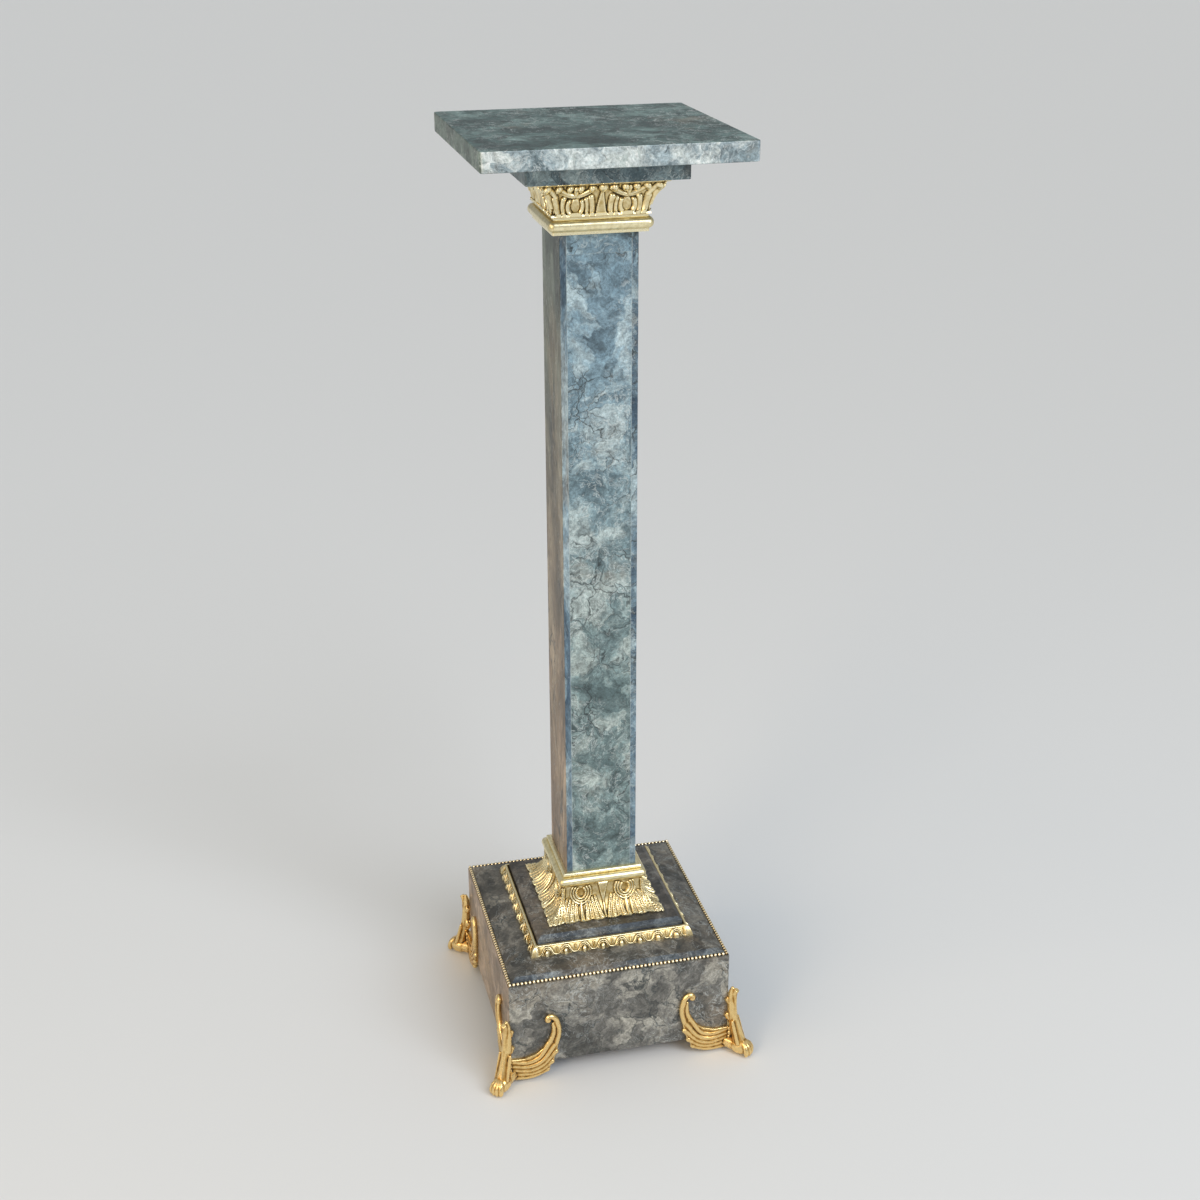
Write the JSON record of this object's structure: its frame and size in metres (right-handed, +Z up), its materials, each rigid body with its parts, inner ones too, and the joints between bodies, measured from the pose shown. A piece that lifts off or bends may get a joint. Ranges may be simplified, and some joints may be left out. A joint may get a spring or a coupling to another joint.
{
  "type": "pedestal column stand",
  "caption": "Square marble column stand with gilt bronze acanthus capital and collar, egg-and-dart and bead strips, and winged paw feet.",
  "frame": {"origin": "on the floor under the middle of the stand", "axes": "+Z up along the column; the front, with the level joint in its panel, looks along -Y"},
  "size_m": [0.3176, 0.3176, 1.05],
  "materials": {
    "marble": "semi-polished blue-grey veined marble",
    "gilt_bronze": "satin gilding with dark patina in the recesses",
    "wood": "sawn",
    "steel": "zinc plated"
  },
  "bodies": {
    "root": {"abacus_block": "marble", "base_back_slab": "marble", "base_front_slab": "marble", "base_left_slab": "marble", "base_right_slab": "marble", "base_top_slab": "marble", "bead_strip_back": "gilt_bronze", "bead_strip_front": "gilt_bronze", "bead_strip_left": "gilt_bronze", "bead_strip_right": "gilt_bronze", "capital_acanthus_mount": "gilt_bronze", "capital_torus_ring": "gilt_bronze", "clamp_plate": "steel", "collar_acanthus_mount": "gilt_bronze", "collar_torus_ring": "gilt_bronze", "corner_block_back_left": "wood", "corner_block_back_right": "wood", "corner_block_front_left": "wood", "corner_block_front_right": "wood", "egg_and_dart_back": "gilt_bronze", "egg_and_dart_front": "gilt_bronze", "egg_and_dart_left": "gilt_bronze", "egg_and_dart_right": "gilt_bronze", "foot_back_left": "gilt_bronze", "foot_back_right": "gilt_bronze", "foot_front_left": "gilt_bronze", "foot_front_right": "gilt_bronze", "foot_screws": "steel", "plinth_slab": "marble", "shaft_back_panel": "marble", "shaft_bottom_plug": "wood", "shaft_front_panel": "marble", "shaft_front_top_panel": "marble", "shaft_left_slab": "marble", "shaft_right_slab": "marble", "shaft_top_plug": "wood", "tie_rod": "steel", "tie_rod_bottom_nut": "steel", "tie_rod_top_nut": "steel", "tie_rod_top_washer": "steel", "top_slab": "marble", "top_slab_dowels": "wood"}
  },
  "joints": []
}
